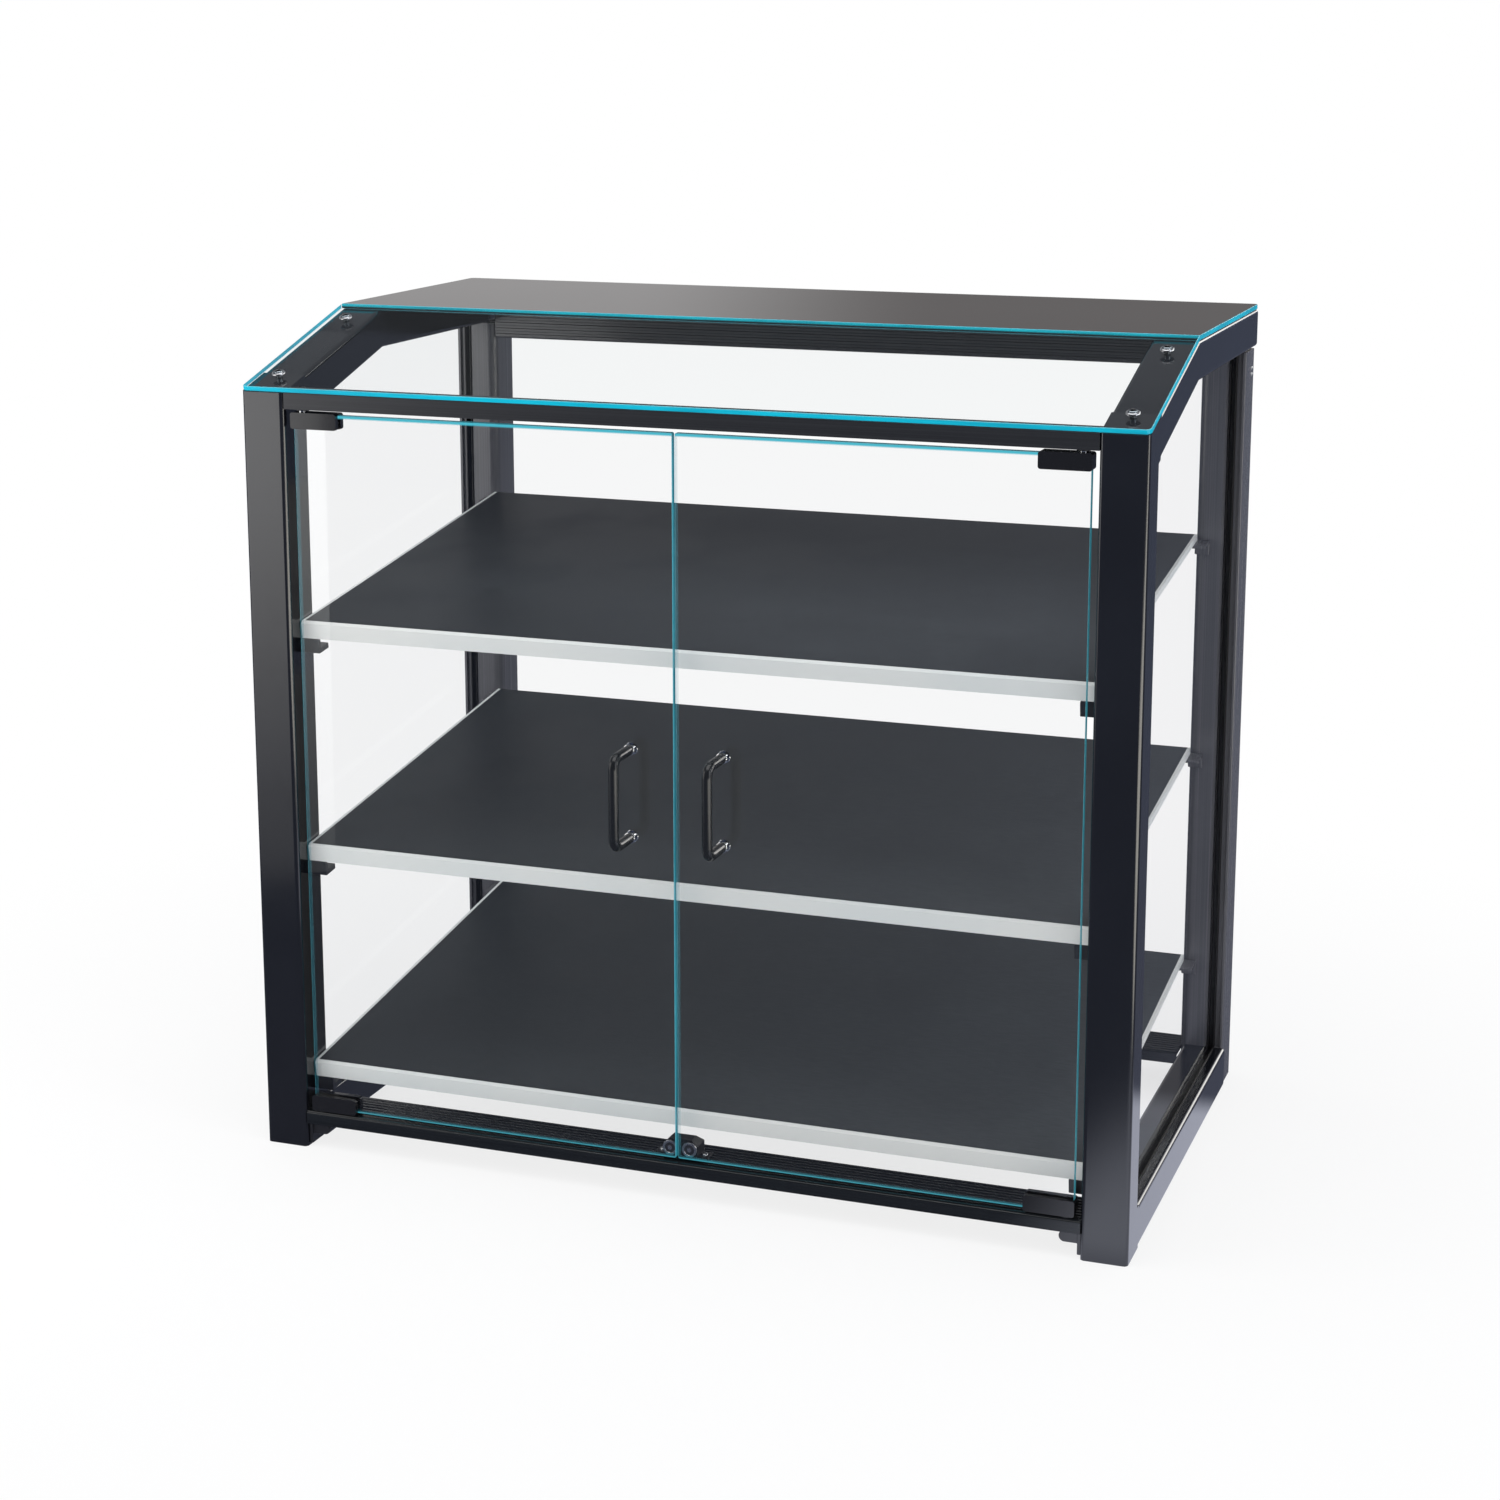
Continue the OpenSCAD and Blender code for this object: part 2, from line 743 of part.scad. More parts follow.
right_door_glass();
right_hinge_clips();
right_pivot_pins();
right_handle();
right_handle_rings();
right_handle_screws();
right_strike_disc();
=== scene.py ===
import json
import math

import bmesh
import bpy
from mathutils import Euler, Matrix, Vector


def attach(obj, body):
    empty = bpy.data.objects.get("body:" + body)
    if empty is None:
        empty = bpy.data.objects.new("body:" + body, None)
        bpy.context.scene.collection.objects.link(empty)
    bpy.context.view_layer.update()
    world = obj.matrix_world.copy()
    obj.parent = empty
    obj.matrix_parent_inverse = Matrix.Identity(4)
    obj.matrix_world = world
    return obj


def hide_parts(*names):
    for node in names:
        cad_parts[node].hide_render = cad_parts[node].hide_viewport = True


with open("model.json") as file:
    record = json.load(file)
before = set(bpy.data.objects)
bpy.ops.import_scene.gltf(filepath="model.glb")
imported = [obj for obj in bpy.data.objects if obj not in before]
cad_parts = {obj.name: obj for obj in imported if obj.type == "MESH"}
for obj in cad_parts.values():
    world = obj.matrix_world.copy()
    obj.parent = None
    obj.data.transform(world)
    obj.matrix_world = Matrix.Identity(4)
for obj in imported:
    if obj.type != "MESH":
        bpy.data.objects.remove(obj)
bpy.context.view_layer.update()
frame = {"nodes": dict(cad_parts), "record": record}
nodes = frame["nodes"]
scene = bpy.context.scene
print("stage: frame loaded,", len(nodes), "nodes")

# sizes shared by the pieces, in millimetres as every piece's are; frontPlane is where the posts' fronts lie
cabinet = {"width": 711, "depth": 419, "frontHigh": 619, "slopeRun": 168, "high": 667, "frontPlane": -194.5}
slope = math.atan((cabinet["high"] - cabinet["frontHigh"]) / cabinet["slopeRun"])
mm = 0.001
signOf = {"left": -1, "right": 1}
sharp = {"eased": 35, "arris": 60, "turned": 32, "rod": 40}  # degrees of turn at which an edge counts as one


# a place in metres, from millimetres with y measured from the front plane
def at(x, y, z):
    return Vector((x, y + cabinet["frontPlane"], z)) * mm


# a shader or geometry socket that takes part in sums
class Wire:
    def __init__(self, tree, socket=None):
        self.tree = tree
        self.socket = socket

    # any node: its type, its settings, then the values or links of its sockets
    def node(self, kind, settings=None, values=None, out=0):
        made = self.tree.nodes.new(kind)
        for key, value in (settings or {}).items():
            setattr(made, key, value)
        for key, value in (values or {}).items():
            if isinstance(value, Wire):
                self.tree.links.new(value.socket, made.inputs[key])
            else:
                made.inputs[key].default_value = value
        return made if out is None else Wire(self.tree, made.outputs[out])

    def sum(self, operation, *terms, clamp=False):
        settings = {"operation": operation, "use_clamp": clamp}
        return self.node("ShaderNodeMath", settings, dict(enumerate(terms)))

    def __add__(self, other):
        return self.sum("ADD", self, other)

    def __radd__(self, other):
        return self.sum("ADD", other, self)

    def __sub__(self, other):
        return self.sum("SUBTRACT", self, other)

    def __rsub__(self, other):
        return self.sum("SUBTRACT", other, self)

    def __mul__(self, other):
        return self.sum("MULTIPLY", self, other)

    def __rmul__(self, other):
        return self.sum("MULTIPLY", other, self)

    def __pow__(self, other):
        return self.sum("POWER", self, other)

    def __or__(self, other):
        return self.sum("MAXIMUM", self, other)

    def clamped(self):
        return self.sum("ADD", self, 0.0, clamp=True)

    # soft step from 0 at low to 1 at high
    def ramp(self, low, high):
        return self.node("ShaderNodeMapRange", {"clamp": True, "interpolation_type": "SMOOTHSTEP"},
                         {"Value": self, "From Min": low, "From Max": high})

    # a colour between two, this wire being the share of the second; 6, 7 and 2 are the colour sockets
    def between(self, first, second):
        first, second = (colour if isinstance(colour, Wire) else (*colour, 1) for colour in (first, second))
        return self.node("ShaderNodeMix", {"data_type": "RGBA"}, {0: self, 6: first, 7: second}, out=2)


# the place on the object, its parts, and the patterns read from it
class Place(Wire):
    def __init__(self, tree, output="Object"):
        super().__init__(tree)
        self.socket = self.node("ShaderNodeTexCoord", out=output).socket
        apart = self.node("ShaderNodeSeparateXYZ", {}, {0: Wire(tree, self.socket)}, out=None)
        self.x, self.y, self.z = (Wire(tree, part) for part in apart.outputs)

    def noise(self, scale, detail=2.0, stretch=None):
        vector = Wire(self.tree, self.socket)
        if stretch:
            vector = self.node("ShaderNodeMapping", {}, {"Vector": vector, "Scale": stretch})
        return self.node("ShaderNodeTexNoise", {}, {"Vector": vector, "Scale": scale, "Detail": detail})

    def bump(self, height, strength, distance):
        return self.node("ShaderNodeBump", {}, {"Height": height, "Strength": strength, "Distance": distance})

    # 1 on a face seen from its back, as inside a pane
    def backfacing(self):
        return self.node("ShaderNodeNewGeometry", out="Backfacing")


def newMaterial(name):
    material = bpy.data.materials.new(name)
    material.use_nodes = True
    material.node_tree.nodes.clear()
    return material, Place(material.node_tree)


def endMaterial(place, surface):
    place.node("ShaderNodeOutputMaterial", {}, {"Surface": surface}, out=None)


# a principled finish: plain values for what is even, and a function for what varies
def makeFinish(name, plain, vary):
    material, place = newMaterial(name)
    endMaterial(place, place.node("ShaderNodeBsdfPrincipled", {}, {**plain, **vary(place)}))
    return material


middle = (0.3, 0.7)  # the soft step that parts a noise into two tones

# black powder coat of the side frames: fine orange peel under a soft gloss, slightly blue
paintLook = {"dark": (0.0055, 0.006, 0.0085), "light": (0.0085, 0.0095, 0.013), "cloud": 7.0, "grain": 620.0,
             "rub": 38.0, "rubbed": (0.5, 0.8), "rough": 0.11, "peelRough": 0.04, "rubRough": 0.05,
             "bump": (0.03, 0.0001), "level": 0.9}


def varyPaint(place):
    look = paintLook
    peel = place.noise(look["grain"])
    cloud = place.noise(look["cloud"], 3.0)
    rub = place.noise(look["rub"], 5.0)
    return {
        "Base Color": cloud.ramp(*middle).between(look["dark"], look["light"]),
        "Roughness": peel * look["peelRough"] + rub.ramp(*look["rubbed"]) * look["rubRough"] + look["rough"],
        "Normal": place.bump(peel, *look["bump"]),
    }


framePaint = makeFinish("framePaint", {"Specular IOR Level": paintLook["level"]}, varyPaint)

# anodised metal, drawn along the cabinet's width on the bars and upwards on the rear posts
barLook = {"dark": (0.006, 0.0075, 0.0095), "light": (0.012, 0.0145, 0.0175), "rough": 0.18,
           "drawnRough": 0.08, "bump": (0.006, 0.0001), "stretch": (2.0, 1400.0, 1400.0), "level": 0.5}
# the header's copy is paler than the other bars': painted light for the lamp light that falls on the header
headerLook = {**barLook, "dark": (0.013, 0.014, 0.018), "light": (0.022, 0.024, 0.029), "rough": 0.36,
              "level": 0.7}
rearBarLook = {**barLook, "dark": (0.038, 0.039, 0.043), "light": (0.056, 0.057, 0.062), "rough": 0.2,
               "level": 0.7}
postLook = {**barLook, "dark": (0.086, 0.086, 0.096), "light": (0.116, 0.114, 0.126), "rough": 0.22,
            "bump": (0.03, 0.0001), "stretch": (900.0, 900.0, 2.0), "level": 0.7}


def makeDrawn(name, look):
    def vary(place):
        drawn = place.noise(1.0, 3.0, look["stretch"])
        return {
            "Base Color": drawn.ramp(*middle).between(look["dark"], look["light"]),
            "Roughness": drawn * look["drawnRough"] + look["rough"],
            "Normal": place.bump(drawn, *look["bump"]),
        }
    return makeFinish(name, {"Specular IOR Level": look["level"]}, vary)


barMetal = makeDrawn("barMetal", barLook)
headerMetal = makeDrawn("headerMetal", headerLook)
rearBarMetal = makeDrawn("rearBarMetal", rearBarLook)
postMetal = makeDrawn("postMetal", postLook)

# textured laminate on the shelves, painted a little paler towards the right where the light falls brighter;
# colours are dark and light
sheetLook = {"left": ((0.019, 0.023, 0.027), (0.031, 0.036, 0.041)),
             "right": ((0.043, 0.048, 0.055), (0.066, 0.073, 0.082)), "reach": (-0.32, 0.34),
             "pebble": 520.0, "pebbleShare": 0.3, "grain": (90.0, 760.0, 760.0), "scuff": 11.0,
             "scuffShare": 0.45, "tone": (0.35, 0.68), "scuffed": (0.35, 0.7), "rough": 0.36,
             "scuffRough": 0.08, "grainRough": 0.10, "bump": (0.08, 0.0002), "level": 0.37}


def varySheet(place):
    look = sheetLook
    pebble = place.noise(look["pebble"], 3.0)
    grain = place.noise(1.0, 4.0, look["grain"])
    scuff = place.noise(look["scuff"], 5.0)
    tone = (scuff * look["scuffShare"] + grain * (1 - look["scuffShare"])).ramp(*look["tone"])
    scuffed = scuff.ramp(*look["scuffed"])
    left, right = (tone.between(*look[side]) for side in ("left", "right"))
    return {
        # painted light: the laminate's colour grows paler towards the right
        "Base Color": place.x.ramp(*look["reach"]).between(left, right),
        "Roughness": scuffed * look["scuffRough"] + grain * look["grainRough"] + look["rough"],
        "Normal": place.bump(pebble * look["pebbleShare"] + grain * (1 - look["pebbleShare"]), *look["bump"]),
    }


sheetBlack = makeFinish("sheetBlack", {"Specular IOR Level": sheetLook["level"]}, varySheet)

# pale lacquered fibreboard under the sheets, cooler and warmer in patches
boardLook = {"cool": (0.77, 0.805, 0.80), "warm": (0.85, 0.855, 0.83), "speck": 700.0, "wash": 6.0,
             "washShare": 0.75, "tone": (0.32, 0.68), "rough": 0.34, "speckRough": 0.15,
             "bump": (0.06, 0.0002)}


def varyBoard(place):
    look = boardLook
    speck = place.noise(look["speck"], 4.0)
    wash = place.noise(look["wash"])
    tone = (wash * look["washShare"] + speck * (1 - look["washShare"])).ramp(*look["tone"])
    return {
        "Base Color": tone.between(look["cool"], look["warm"]),
        "Roughness": speck * look["speckRough"] + look["rough"],
        "Normal": place.bump(speck, *look["bump"]),
    }


boardGrey = makeFinish("boardGrey", {}, varyBoard)

# black back-painted glass of the flat top, faintly smeared
panelLook = {"dark": (0.010, 0.009, 0.009), "light": (0.018, 0.016, 0.016), "smear": 4.0,
             "smeared": (0.4, 0.75), "rough": 0.04, "smearRough": 0.05, "index": 1.52}


def varyPanel(place):
    look = panelLook
    smear = place.noise(look["smear"], 4.0)
    return {
        "Base Color": smear.ramp(*middle).between(look["dark"], look["light"]),
        "Roughness": smear.ramp(*look["smeared"]) * look["smearRough"] + look["rough"],
    }


panelBlack = makeFinish("panelBlack", {"IOR": panelLook["index"]}, varyPanel)

# clear panes; a rim is a painted glow, a teal band that shines on a door pane near its top and bottom edges
# in place of the light gathered in the ground edges, between heights in metres
paneLook = {
    "roofPane": {"tint": (0.975, 0.982, 0.982), "gloss": 0.5},
    "doorPane": {"tint": (0.988, 0.990, 0.990), "gloss": 1.5,
                 "rim": {"colour": (0.07, 0.48, 0.60), "top": (0.5958, 0.5974), "bottom": (0.0336, 0.0348),
                         "bottomShare": 0.6}},
    "sidePane": {"tint": (0.985, 0.985, 0.987), "gloss": 0.28},
}
glossLayer = {"cool": (0.88, 0.92, 0.93), "clean": (0.94, 0.97, 0.97), "smear": 5.0, "smeared": (0.45, 0.8),
              "rough": 0.01, "smearRough": 0.04, "power": 5, "grazing": 0.9, "straight": 0.04}


# what is behind a pane shows through, and the gloss of its outer side lies over it
def makePane(name):
    look = paneLook[name]
    layer = glossLayer
    material, place = newMaterial(name)
    clear = place.node("ShaderNodeBsdfTransparent", {}, {"Color": (*look["tint"], 1)})
    smear = place.noise(layer["smear"], 4.0)
    mirror = place.node("ShaderNodeBsdfPrincipled", {}, {
        "Base Color": smear.between(layer["cool"], layer["clean"]), "Metallic": 1.0,
        "Roughness": smear.ramp(*layer["smeared"]) * layer["smearRough"] + layer["rough"]})
    facing = place.node("ShaderNodeLayerWeight", {}, {"Blend": 0.5}, out="Facing")
    outer = 1 - place.backfacing()
    sheen = (facing ** layer["power"] * layer["grazing"] + layer["straight"]) * outer * look["gloss"]
    surface = place.node("ShaderNodeMixShader", {}, {0: sheen.clamped(), 1: clear, 2: mirror})
    rim = look.get("rim")
    if rim:
        # painted glow: the rim's teal emission along the door pane's top and bottom edges
        teal = place.node("ShaderNodeEmission", {}, {"Color": (*rim["colour"], 1), "Strength": 1.0})
        bottom = (1 - place.z.ramp(*rim["bottom"])) * rim["bottomShare"]
        share = (place.z.ramp(*rim["top"]) | bottom) * outer
        surface = place.node("ShaderNodeMixShader", {}, {0: share.clamped(), 1: surface, 2: teal})
    endMaterial(place, surface)
    return material


roofPane, doorPane, sidePane = (makePane(name) for name in ("roofPane", "doorPane", "sidePane"))

# ground edges of the panes; glow is the strength of their painted light, inner is how clear an edge is from
# inside the glass
edgeLook = {
    "roofEdge": {"deep": (0.0, 0.26, 0.37), "bright": (0.0, 0.42, 0.57), "glow": 0.45,
                 "stretch": (30.0, 30.0, 900.0), "inner": 0.05},
    "seamEdge": {"deep": (0.0, 0.25, 0.32), "bright": (0.01, 0.42, 0.50), "glow": 0.5,
                 "stretch": (30.0, 30.0, 900.0), "inner": 0.6,
                 "darkFoot": {"colour": (0.006, 0.010, 0.012), "rise": (0.6640, 0.6655)}},
    "doorEdge": {"deep": (0.01, 0.16, 0.21), "bright": (0.05, 0.30, 0.37), "glow": 0.45,
                 "stretch": (30.0, 900.0, 30.0), "inner": 0.75},
}
grinding = {"light": 9.0, "lightShare": 0.65, "rough": 0.15, "groundRough": 0.2, "level": 0.25}


# painted glow: the ground edges take a deep teal colour that also shines by itself, standing in for the light
# gathered inside the glass, with faint grinding marks; on the seam the colour turns dark below a given height
def makeEdge(name):
    look = edgeLook[name]

    def vary(place):
        light = place.noise(grinding["light"], 3.0)
        ground = place.noise(1.0, 3.0, look["stretch"])
        tone = (light * grinding["lightShare"] + ground * (1 - grinding["lightShare"])).ramp(*middle)
        colour = tone.between(look["deep"], look["bright"])
        foot = look.get("darkFoot")
        if foot:
            colour = place.z.ramp(*foot["rise"]).between(foot["colour"], colour)
        # painted glow: the edge colour is also sent out as light
        return {"Base Color": colour, "Emission Color": colour,
                "Roughness": ground * grinding["groundRough"] + grinding["rough"],
                "Alpha": 1 - place.backfacing() * look["inner"]}
    plain = {"Emission Strength": look["glow"], "Specular IOR Level": grinding["level"]}
    return makeFinish(name, plain, vary)


roofEdge, seamEdge, doorEdge = (makeEdge(name) for name in ("roofEdge", "seamEdge", "doorEdge"))

# painted highlight: the arris where a pane's faces meet its edges is coloured bright teal for the light it
# catches
arrisHighlightLook = {"dark": (0.05, 0.42, 0.53), "light": (0.18, 0.60, 0.70), "polish": 300.0, "rough": 0.2,
             "polishRough": 0.1, "alpha": 0.9, "inner": 0.7, "level": 0.3}


def varyArrisHighlight(place):
    look = arrisHighlightLook
    polish = place.noise(look["polish"], 3.0)
    return {
        "Base Color": polish.between(look["dark"], look["light"]),
        "Roughness": polish * look["polishRough"] + look["rough"],
        "Alpha": look["alpha"] - place.backfacing() * look["inner"],
    }


arris = makeFinish("arris", {"Specular IOR Level": arrisHighlightLook["level"]}, varyArrisHighlight)

# fine-grained finishes of the small pieces: colours from dark to light, roughness and how far it
# varies, the grain's noise, bump strength and depth, and the shader's plain values
grainLook = {
    "rubber": {"colours": ((0.006, 0.006, 0.007), (0.014, 0.014, 0.015)), "rough": (0.45, 0.2),
               "grain": (900.0,), "bump": (0.08, 0.0002)},
    "glossBlack": {"colours": ((0.006, 0.006, 0.007), (0.012, 0.012, 0.014)), "rough": (0.13, 0.07),
                   "grain": (1200.0,), "bump": (0.05, 0.0002),
                   "plain": {"Coat Weight": 0.25, "Coat Roughness": 0.06}},
    "handleBlack": {"colours": ((0.008, 0.009, 0.011), (0.014, 0.016, 0.019)), "rough": (0.17, 0.08),
                    "grain": (1200.0,), "bump": (0.05, 0.0002), "plain": {"Specular IOR Level": 0.44}},
    "satinBlack": {"colours": ((0.010, 0.010, 0.012), (0.020, 0.020, 0.023)), "rough": (0.30, 0.12),
                   "grain": (1300.0,), "bump": (0.10, 0.0002), "plain": {"Specular IOR Level": 1.0}},
    "nylon": {"colours": ((0.009, 0.009, 0.010), (0.018, 0.018, 0.019)), "rough": (0.30, 0.15),
              "grain": (800.0,), "bump": (0.08, 0.0001)},
    "chrome": {"colours": ((0.74, 0.75, 0.77), (0.84, 0.85, 0.86)), "rough": (0.05, 0.06),
               "grain": (700.0,), "plain": {"Metallic": 1.0}},
    "steel": {"colours": ((0.42, 0.43, 0.45), (0.62, 0.63, 0.65)), "rough": (0.18, 0.2),
              "grain": (1.0, 2.0, (2500.0, 140.0, 2500.0)), "plain": {"Metallic": 1.0}},
    "dullSteel": {"colours": ((0.17, 0.20, 0.22), (0.36, 0.40, 0.43)), "rough": (0.12, 0.2),
                  "grain": (420.0, 3.0), "plain": {"Metallic": 1.0}},
}


def makeGrained(name):
    look = grainLook[name]

    def vary(place):
        grain = place.noise(*look["grain"])
        rough, spread = look["rough"]
        varied = {"Base Color": grain.between(*look["colours"]), "Roughness": grain * spread + rough}
        if "bump" in look:
            varied["Normal"] = place.bump(grain, *look["bump"])
        return varied
    return makeFinish(name, look.get("plain", {}), vary)


grained = {name: makeGrained(name) for name in grainLook}
satinBlack, chrome, steel = grained["satinBlack"], grained["chrome"], grained["steel"]
print("stage: finishes made")

finishBySlot = {
    "frame_paint": framePaint, "bar_metal": barMetal, "side_glass": sidePane, "roof_glass": roofPane,
    "door_glass": doorPane, "top_glass": panelBlack, "gasket": grained["rubber"], "rivet": steel,
    "bright_trim": chrome, "screw_black": grained["glossBlack"], "shelf_board": boardGrey,
    "shelf_sheet": sheetBlack, "bracket": satinBlack, "bushing": grained["nylon"], "catch": grained["nylon"],
    "magnet": steel, "clip": grained["glossBlack"], "pin": chrome, "handle": grained["handleBlack"],
}
slotOf = {}
for row in frame["record"]["subparts"]:
    slotOf[row["node"]] = row["material_slot"]
    part = nodes[row["node"]]
    part.data.materials.clear()
    part.data.materials.append(finishBySlot[row["material_slot"]])
nodes["rear_top_bar"].data.materials[0] = rearBarMetal
print("stage: CAD nodes finished")


def newPiece(name, mesh):
    piece = bpy.data.objects.new(name, mesh)
    scene.collection.objects.link(piece)
    return piece


# the working mesh as a mesh of its own, with its finishes
def meshFrom(work, name, finishes):
    mesh = bpy.data.meshes.new(name)
    work.to_mesh(mesh)
    work.free()
    for finish in finishes:
        mesh.materials.append(finish)
    return mesh


# smooth faces, with an edge kept sharp where they turn by more than the angle
def shadeByAngle(work, degrees):
    for face in work.faces:
        face.smooth = True
    for edge in work.edges:
        edge.smooth = not (edge.is_manifold and edge.calc_face_angle() > math.radians(degrees))


# the mesh of a modifier's result, with the modifiers gone
def settle(piece):
    view = bpy.context.evaluated_depsgraph_get()
    view.update()
    mesh = bpy.data.meshes.new_from_object(piece.evaluated_get(view))
    mesh.name = piece.name
    piece.modifiers.clear()
    piece.data = mesh


def handOver(piece, body, replaced):
    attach(piece, body)
    if replaced:
        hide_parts(*replaced)


# material -1 keeps the faces' own finish on the bevel
def addBevel(piece, width, steps, angle, material=-1):
    bevel = piece.modifiers.new("edges", "BEVEL")
    bevel.width = width * mm
    bevel.segments = steps
    bevel.limit_method = "ANGLE"
    bevel.angle_limit = math.radians(angle)
    bevel.harden_normals = True
    bevel.material = material
    bevel.loop_slide = False


# copies with eased edges, by CAD node: name, body, width of the easing and, if not the slot's, finish
easedLook = {
    "header_bar": ("headerBar", "frame", 0.35, headerMetal),
    "header_brackets": ("headerBrackets", "frame", 0.5),
    "sill_brackets": ("sillBrackets", "frame", 0.6),
    "shelf_front_brackets": ("shelfFrontBrackets", "frame", 0.5),
    "shelf_rear_brackets": ("shelfRearBrackets", "frame", 0.5, postMetal),
    "catch_body": ("catchBody", "frame", 0.6),
    "left_hinge_clips": ("leftHingeClips", "left_door", 0.5),
    "right_hinge_clips": ("rightHingeClips", "right_door", 0.5),
    "left_rear_post": ("leftRearPost", "frame", 0.7, postMetal),
    "right_rear_post": ("rightRearPost", "frame", 0.7, postMetal),
}
easing = {"steps": 2, "flat": math.radians(1.0), "weld": 1e-6}


def easedCopy(node, name, body, width, finish=None):
    work = bmesh.new()
    work.from_mesh(nodes[node].data)
    bmesh.ops.remove_doubles(work, verts=work.verts, dist=easing["weld"])
    bmesh.ops.dissolve_limit(work, angle_limit=easing["flat"], verts=work.verts, edges=work.edges)
    shadeByAngle(work, sharp["eased"])
    piece = newPiece(name, meshFrom(work, name, [finish or finishBySlot[slotOf[node]]]))
    addBevel(piece, width, easing["steps"], sharp["eased"])
    settle(piece)
    handOver(piece, body, [node])


for node, look in easedLook.items():
    easedCopy(node, *look)
print("stage: eased copies made")


# a flat pane from its outline; its finishes are face, ground edge, arris and, where it has one, seam
def makeSlab(name, body, node, outline, thick, place, finishes, arrisWidth, seamAt=None):
    work = bmesh.new()
    low = [work.verts.new(place(x, y, 0)) for x, y in outline]
    high = [work.verts.new(place(x, y, thick)) for x, y in outline]
    work.faces.new(low[::-1])
    work.faces.new(high)
    count = len(outline)
    for i in range(count):
        j = (i + 1) % count
        side = work.faces.new((low[i], low[j], high[j], high[i]))
        onSeam = outline[i][1] == outline[j][1] == seamAt
        side.material_index = 3 if onSeam else 1
    bmesh.ops.recalc_face_normals(work, faces=work.faces)
    piece = newPiece(name, meshFrom(work, name, finishes))
    addBevel(piece, arrisWidth, 1, sharp["arris"], material=2)
    settle(piece)
    handOver(piece, body, [node])


# rectangle with round corners, counter-clockwise, the front pair and the rear pair on their own radius
def roundOutline(x0, y0, x1, y1, front, rear, steps=6):
    corners = ((x1, y0, -90, front), (x1, y1, 0, rear), (x0, y1, 90, rear), (x0, y0, 180, front))
    points = []
    for x, y, start, radius in corners:
        if not radius:
            points.append((x, y))
            continue
        middleX = x - radius if x == x1 else x + radius
        middleY = y - radius if y == y1 else y + radius
        for i in range(steps + 1):
            angle = math.radians(start + 90 * i / steps)
            points.append((middleX + radius * math.cos(angle), middleY + radius * math.sin(angle)))
    return points


roofLook = {"thick": 4.0, "corner": 4.0, "gap": 0.2, "arris": 0.45}


# the sloped glass and the flat panel behind it, which meet at a seam
def makeRoof():
    look = roofLook
    half = cabinet["width"] / 2
    thick = look["thick"]
    run = (cabinet["slopeRun"] - look["gap"]) / math.cos(slope)
    seam = cabinet["slopeRun"] + look["gap"]

    # along the slope; the rear end is cut upright against the flat panel
    def onSlope(x, y, z):
        below = thick - z
        along = y - (below * math.tan(slope) if y > run / 2 else 0)
        return at(x, along * math.cos(slope) + below * math.sin(slope),
                  cabinet["frontHigh"] + along * math.sin(slope) - below * math.cos(slope))

    def onTop(x, y, z):
        return at(x, y, cabinet["high"] - thick + z)

    sloped = roundOutline(-half, 0, half, run, look["corner"], 0)
    makeSlab("slopedGlass", "frame", "sloped_glass", sloped, thick, onSlope,
             (roofPane, roofEdge, arris, seamEdge), look["arris"], seamAt=run)
    flat = roundOutline(-half, seam, half, cabinet["depth"], 0, look["corner"])
    makeSlab("topPanel", "frame", "top_panel", flat, thick, onTop,
             (panelBlack, roofEdge, arris, seamEdge), look["arris"], seamAt=seam)


doorLook = {"inner": 1.0, "outer": 313.5, "low": 33.0, "high": 599.0, "front": 5.0, "thick": 5.0,
            "corner": 1.2, "arris": 0.4}


def makeDoor(side, body):
    look = doorLook
    corner = look["corner"]

    def inDoor(x, z, y):
        return at(signOf[side] * x, look["front"] + y, z)

    outline = roundOutline(look["inner"], look["low"], look["outer"], look["high"], corner, corner)
    makeSlab(side + "DoorGlass", body, side + "_door_glass", outline, look["thick"], inDoor,
             (doorPane, doorEdge, arris), look["arris"])


makeRoof()
makeDoor("left", "left_door")
makeDoor("right", "right_door")
print("stage: panes made")


# rows of a turned piece's profile, from its radii and heights, in one finish and one form
def rows(pairs, finish=0, form="round"):
    return [(radius, height, finish, form) for radius, height in pairs]


# turned piece round its own z axis; a row is radius, height, finish and "round" or "hex"
def lathe(name, profile, finishes, sides):
    work = bmesh.new()
    rings = []
    for radius, height, _, form in profile:
        if not radius:  # a pole
            rings.append([work.verts.new((0, 0, height * mm))])
            continue
        ring = []
        for i in range(sides):
            angle = math.tau * i / sides
            reach = radius
            if form == "hex":
                reach = radius / math.cos((angle % (math.tau / 6)) - math.tau / 12)
            x, y = reach * math.cos(angle), reach * math.sin(angle)
            ring.append(work.verts.new((x * mm, y * mm, height * mm)))
        rings.append(ring)
    for (low, high), row in zip(zip(rings, rings[1:]), profile[1:]):
        for i in range(sides):
            j = (i + 1) % sides
            if len(low) == 1:
                face = work.faces.new((low[0], high[i], high[j]))
            elif len(high) == 1:
                face = work.faces.new((low[i], low[j], high[0]))
            else:
                face = work.faces.new((low[i], low[j], high[j], high[i]))
            face.material_index = row[2]
    if len(rings[0]) > 1 and len(rings[-1]) > 1:  # a ring closes on itself
        for i in range(sides):
            j = (i + 1) % sides
            work.faces.new((rings[-1][i], rings[-1][j], rings[0][j], rings[0][i]))
    bmesh.ops.recalc_face_normals(work, faces=work.faces)
    shadeByAngle(work, sharp["turned"])
    return meshFrom(work, name, finishes)


